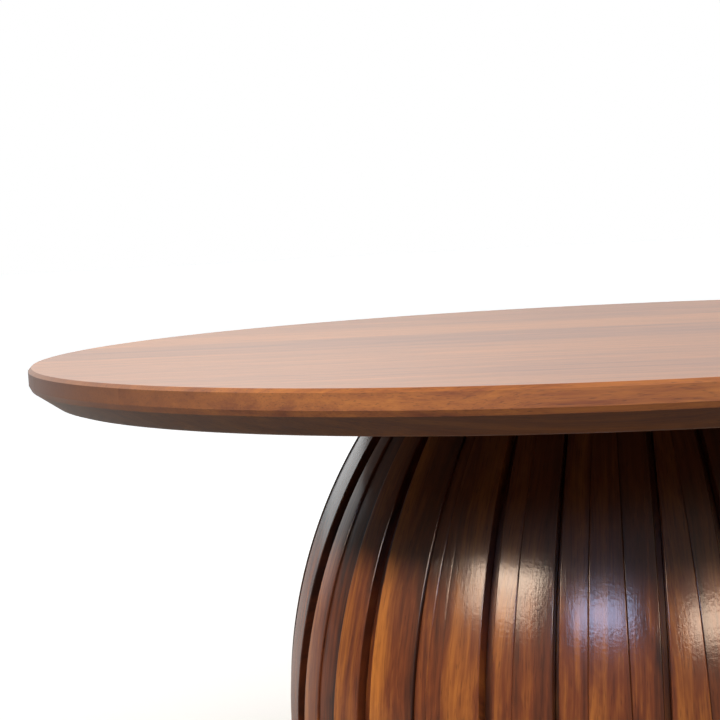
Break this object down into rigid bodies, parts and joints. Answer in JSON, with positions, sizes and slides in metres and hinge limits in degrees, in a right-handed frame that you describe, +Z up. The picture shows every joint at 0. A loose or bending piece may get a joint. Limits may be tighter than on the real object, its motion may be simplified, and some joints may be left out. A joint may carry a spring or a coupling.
{
  "type": "drum coffee table",
  "caption": "Round pedestal coffee table: a planked wood top with an undercut edge on a bulging drum of upright slats in mixed widths with shadow grooves.",
  "frame": {"origin": "on the floor, under the centre of the table", "axes": "+Z up through the drum's axis, -Y towards the front, +X to the right seen from the front; the top's boards run along X"},
  "size_m": [0.75, 0.7499, 0.46],
  "materials": {
    "top_wood": "solid hardwood boards, chestnut stain under gloss lacquer",
    "slat_wood": "solid hardwood slats, dark chestnut stain under gloss lacquer",
    "groove_wood": "same wood stained darker, satin",
    "disc_wood": "plain sanded hardwood board, unfinished",
    "screw_steel": "zinc-plated steel",
    "pad_felt": "pressed wool felt"
  },
  "bodies": {
    "root": {"felt_pads": "pad_felt", "foot_disc": "disc_wood", "groove_strips_1": "groove_wood", "groove_strips_2": "groove_wood", "groove_strips_3": "groove_wood", "groove_strips_4": "groove_wood", "groove_strips_5": "groove_wood", "groove_strips_6": "groove_wood", "groove_strips_7": "groove_wood", "head_disc": "disc_wood", "narrow_slats_1": "slat_wood", "narrow_slats_2": "slat_wood", "narrow_slats_3": "slat_wood", "narrow_slats_4": "slat_wood", "narrow_slats_5": "slat_wood", "narrow_slats_6": "slat_wood", "narrow_slats_7": "slat_wood", "slat_01": "slat_wood", "slat_02": "slat_wood", "slat_03": "slat_wood", "slat_04": "slat_wood", "slat_05": "slat_wood", "slat_06": "slat_wood", "slat_07": "slat_wood", "slat_08": "slat_wood", "slat_09": "slat_wood", "slat_10": "slat_wood", "slat_11": "slat_wood", "slat_12": "slat_wood", "slat_13": "slat_wood", "slat_14": "slat_wood", "slat_15": "slat_wood", "slat_16": "slat_wood", "slat_17": "slat_wood", "slat_18": "slat_wood", "slat_19": "slat_wood", "slat_20": "slat_wood", "slat_21": "slat_wood", "slat_22": "slat_wood", "slat_23": "slat_wood", "slat_24": "slat_wood", "slat_25": "slat_wood", "slat_26": "slat_wood", "slat_27": "slat_wood", "slat_28": "slat_wood", "slat_29": "slat_wood", "slat_30": "slat_wood", "slat_31": "slat_wood", "slat_32": "slat_wood", "slat_33": "slat_wood", "top_board_1": "top_wood", "top_board_2": "top_wood", "top_board_3": "top_wood", "top_board_4": "top_wood", "top_board_5": "top_wood", "top_board_6": "top_wood", "top_board_7": "top_wood", "top_screws": "screw_steel"}
  },
  "joints": []
}
